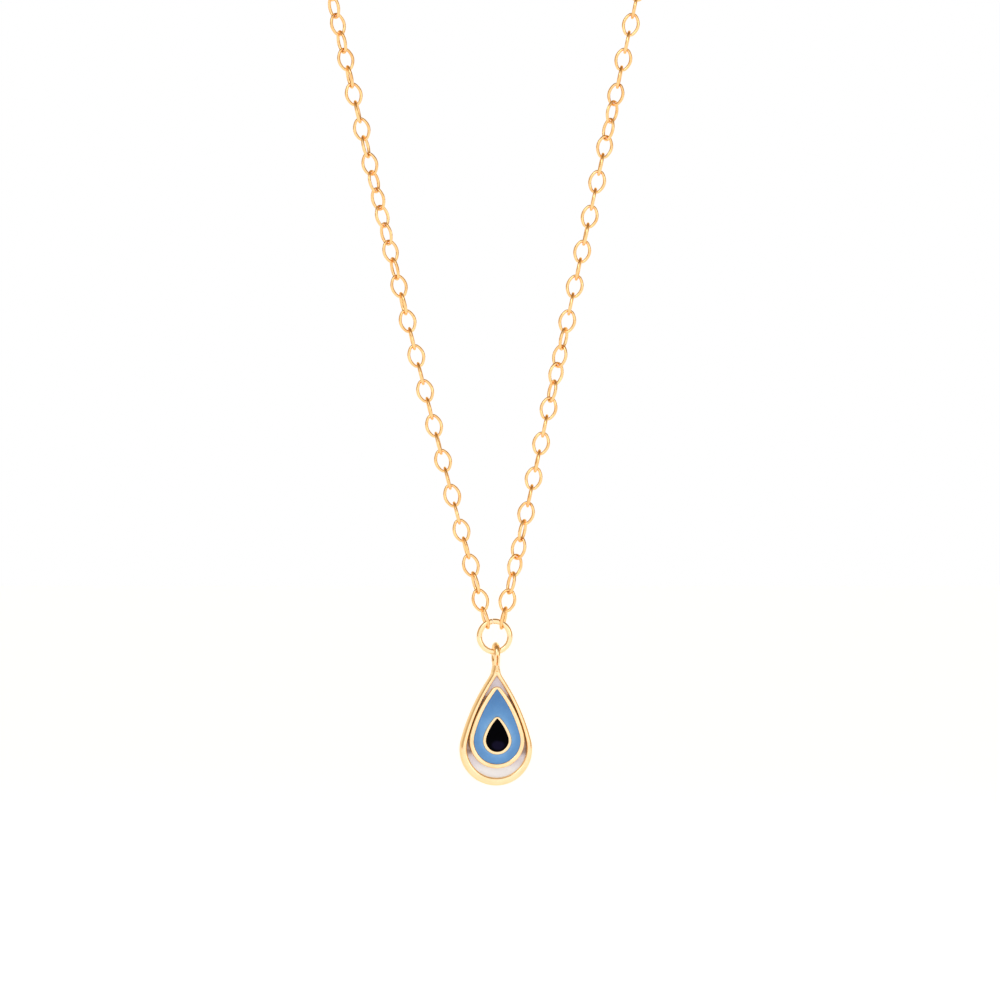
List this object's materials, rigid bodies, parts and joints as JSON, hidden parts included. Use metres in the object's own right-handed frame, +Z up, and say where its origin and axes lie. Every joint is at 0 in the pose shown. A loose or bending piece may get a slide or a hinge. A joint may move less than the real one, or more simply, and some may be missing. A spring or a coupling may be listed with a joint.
{
  "type": "evil eye pendant necklace",
  "caption": "Cable chain necklace with a spring ring clasp and a drop-shaped pendant whose gold cells hold white, blue and black enamel in the form of an eye.",
  "frame": {"origin": "middle of the spring ring clasp, where the chain rests on the nape of the wearer's neck", "axes": "+Z up as worn, -Y towards the front of the pendant, +X to the right when the pendant faces the viewer"},
  "size_m": [0.0923, 0.0827, 0.1373],
  "materials": {
    "polished_gold": "polished gold plate, faintly worn on the edges",
    "chain_gold": "polished gold-plated wire",
    "white_enamel": "glossy opaque enamel, faintly pearly",
    "blue_enamel": "glossy sky-blue enamel, mottled",
    "black_enamel": "glossy black enamel with a faint navy tint",
    "spring_steel": "bare spring wire"
  },
  "bodies": {
    "root": {"left_neck_chain_1": "chain_gold", "left_neck_chain_2": "chain_gold", "left_neck_chain_3": "chain_gold", "left_neck_chain_4": "chain_gold", "right_neck_chain_1": "chain_gold", "right_neck_chain_2": "chain_gold", "right_neck_chain_3": "chain_gold", "right_neck_chain_4": "chain_gold", "tie_ring": "polished_gold", "clasp_shell": "polished_gold", "clasp_spring": "spring_steel", "end_ring": "polished_gold"},
    "clasp_gate": {"clasp_gate": "polished_gold"},
    "strand_11": {"left_chain_11": "chain_gold", "right_chain_11": "chain_gold"},
    "strand_10": {"left_chain_10": "chain_gold", "right_chain_10": "chain_gold"},
    "strand_9": {"left_chain_9": "chain_gold", "right_chain_9": "chain_gold"},
    "strand_8": {"left_chain_8": "chain_gold", "right_chain_8": "chain_gold"},
    "strand_7": {"left_chain_7": "chain_gold", "right_chain_7": "chain_gold"},
    "strand_6": {"left_chain_6": "chain_gold", "right_chain_6": "chain_gold"},
    "strand_5": {"left_chain_5": "chain_gold", "right_chain_5": "chain_gold"},
    "strand_4": {"left_chain_4": "chain_gold", "right_chain_4": "chain_gold"},
    "strand_3": {"left_chain_3": "chain_gold", "right_chain_3": "chain_gold"},
    "strand_2": {"left_chain_2": "chain_gold", "right_chain_2": "chain_gold"},
    "strand_1": {"left_chain_1": "chain_gold", "right_chain_1": "chain_gold"},
    "end_links": {"left_end_link": "chain_gold", "right_end_link": "chain_gold"},
    "jump_ring": {"jump_ring": "polished_gold"},
    "pendant": {"drop_rim": "polished_gold", "back_plate": "polished_gold", "iris_cell": "polished_gold", "pupil_cell": "polished_gold", "white_enamel": "white_enamel", "blue_enamel": "blue_enamel", "black_enamel": "black_enamel", "bail": "polished_gold"}
  },
  "joints": [
    {"name": "clasp_gate_turn", "type": "hinge", "parent": "root", "child": "clasp_gate", "pos_m": [0, 0, 0], "axis": [0, -0.9703, -0.2419], "range_deg": [0, 42], "stiffness_Nm_per_rad": 0.001, "springref_deg": -34.38, "deforming": ["clasp_spring"]},
    {"name": "strand_bend_11", "type": "hinge", "parent": "root", "child": "strand_11", "pos_m": [-0.00009, -0.07974, -0.03963], "axis": [1, 0, 0], "range_deg": [-12, 12]},
    {"name": "strand_bend_10", "type": "hinge", "parent": "strand_11", "child": "strand_10", "pos_m": [-0.00009, -0.07974, -0.04661], "axis": [1, 0, 0], "range_deg": [-12, 12]},
    {"name": "strand_bend_9", "type": "hinge", "parent": "strand_10", "child": "strand_9", "pos_m": [-0.00009, -0.07974, -0.05359], "axis": [1, 0, 0], "range_deg": [-12, 12]},
    {"name": "strand_bend_8", "type": "hinge", "parent": "strand_9", "child": "strand_8", "pos_m": [-0.00009, -0.07974, -0.06056], "axis": [1, 0, 0], "range_deg": [-12, 12]},
    {"name": "strand_bend_7", "type": "hinge", "parent": "strand_8", "child": "strand_7", "pos_m": [-0.00009, -0.07974, -0.06754], "axis": [1, 0, 0], "range_deg": [-12, 12]},
    {"name": "strand_bend_6", "type": "hinge", "parent": "strand_7", "child": "strand_6", "pos_m": [-0.00009, -0.07974, -0.07452], "axis": [1, 0, 0], "range_deg": [-12, 12]},
    {"name": "strand_bend_5", "type": "hinge", "parent": "strand_6", "child": "strand_5", "pos_m": [-0.00009, -0.07974, -0.0815], "axis": [1, 0, 0], "range_deg": [-12, 12]},
    {"name": "strand_bend_4", "type": "hinge", "parent": "strand_5", "child": "strand_4", "pos_m": [-0.00009, -0.07974, -0.08848], "axis": [1, 0, 0], "range_deg": [-12, 12]},
    {"name": "strand_bend_3", "type": "hinge", "parent": "strand_4", "child": "strand_3", "pos_m": [-0.00009, -0.07974, -0.09546], "axis": [1, 0, 0], "range_deg": [-12, 12]},
    {"name": "strand_bend_2", "type": "hinge", "parent": "strand_3", "child": "strand_2", "pos_m": [-0.00009, -0.07974, -0.10243], "axis": [1, 0, 0], "range_deg": [-12, 12]},
    {"name": "strand_bend_1", "type": "hinge", "parent": "strand_2", "child": "strand_1", "pos_m": [-0.00009, -0.07974, -0.10941], "axis": [1, 0, 0], "range_deg": [-12, 12]},
    {"name": "end_link_swing", "type": "hinge", "parent": "strand_1", "child": "end_links", "pos_m": [-0.00009, -0.07974, -0.11639], "axis": [1, 0, 0], "range_deg": [-25, 25]},
    {"name": "ring_turn", "type": "hinge", "parent": "end_links", "child": "jump_ring", "pos_m": [-0.00009, -0.07974, -0.11913], "axis": [0, 1, 0], "range_deg": [-40, 40]},
    {"name": "pendant_swing", "type": "hinge", "parent": "jump_ring", "child": "pendant", "pos_m": [-0.00009, -0.07974, -0.12066], "axis": [1, 0, 0], "range_deg": [-80, 80]}
  ]
}
